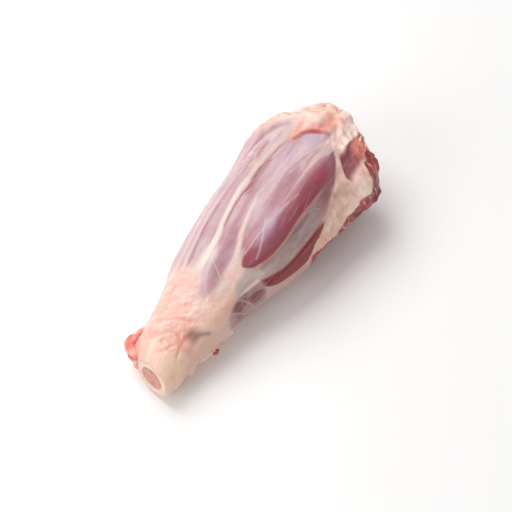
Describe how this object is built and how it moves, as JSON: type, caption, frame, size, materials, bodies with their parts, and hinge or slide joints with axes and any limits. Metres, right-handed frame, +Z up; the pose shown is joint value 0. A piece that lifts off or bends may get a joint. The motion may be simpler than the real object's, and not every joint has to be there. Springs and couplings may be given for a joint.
{
  "type": "raw lamb shank",
  "caption": "Raw lamb shank lying on its side: a tapering leg of meat under silverskin and fat, with the bone sawn at the knuckle and at the thick cut end.",
  "frame": {"origin": "under the middle of the whole shank, on the plane it rests on", "axes": "+X along the bone from the knuckle to the thick cut end, +Z up, the side shown in the picture on top"},
  "size_m": [0.2018, 0.0855, 0.0598],
  "materials": {
    "meat": "moist red-lilac muscle under thin silverskin, cream fascia and fat",
    "bone": "damp cream sawn bone",
    "marrow": "damp pink spongy marrow"
  },
  "bodies": {
    "root": {"meat": "meat", "bone": "bone", "marrow": "marrow"}
  },
  "joints": []
}
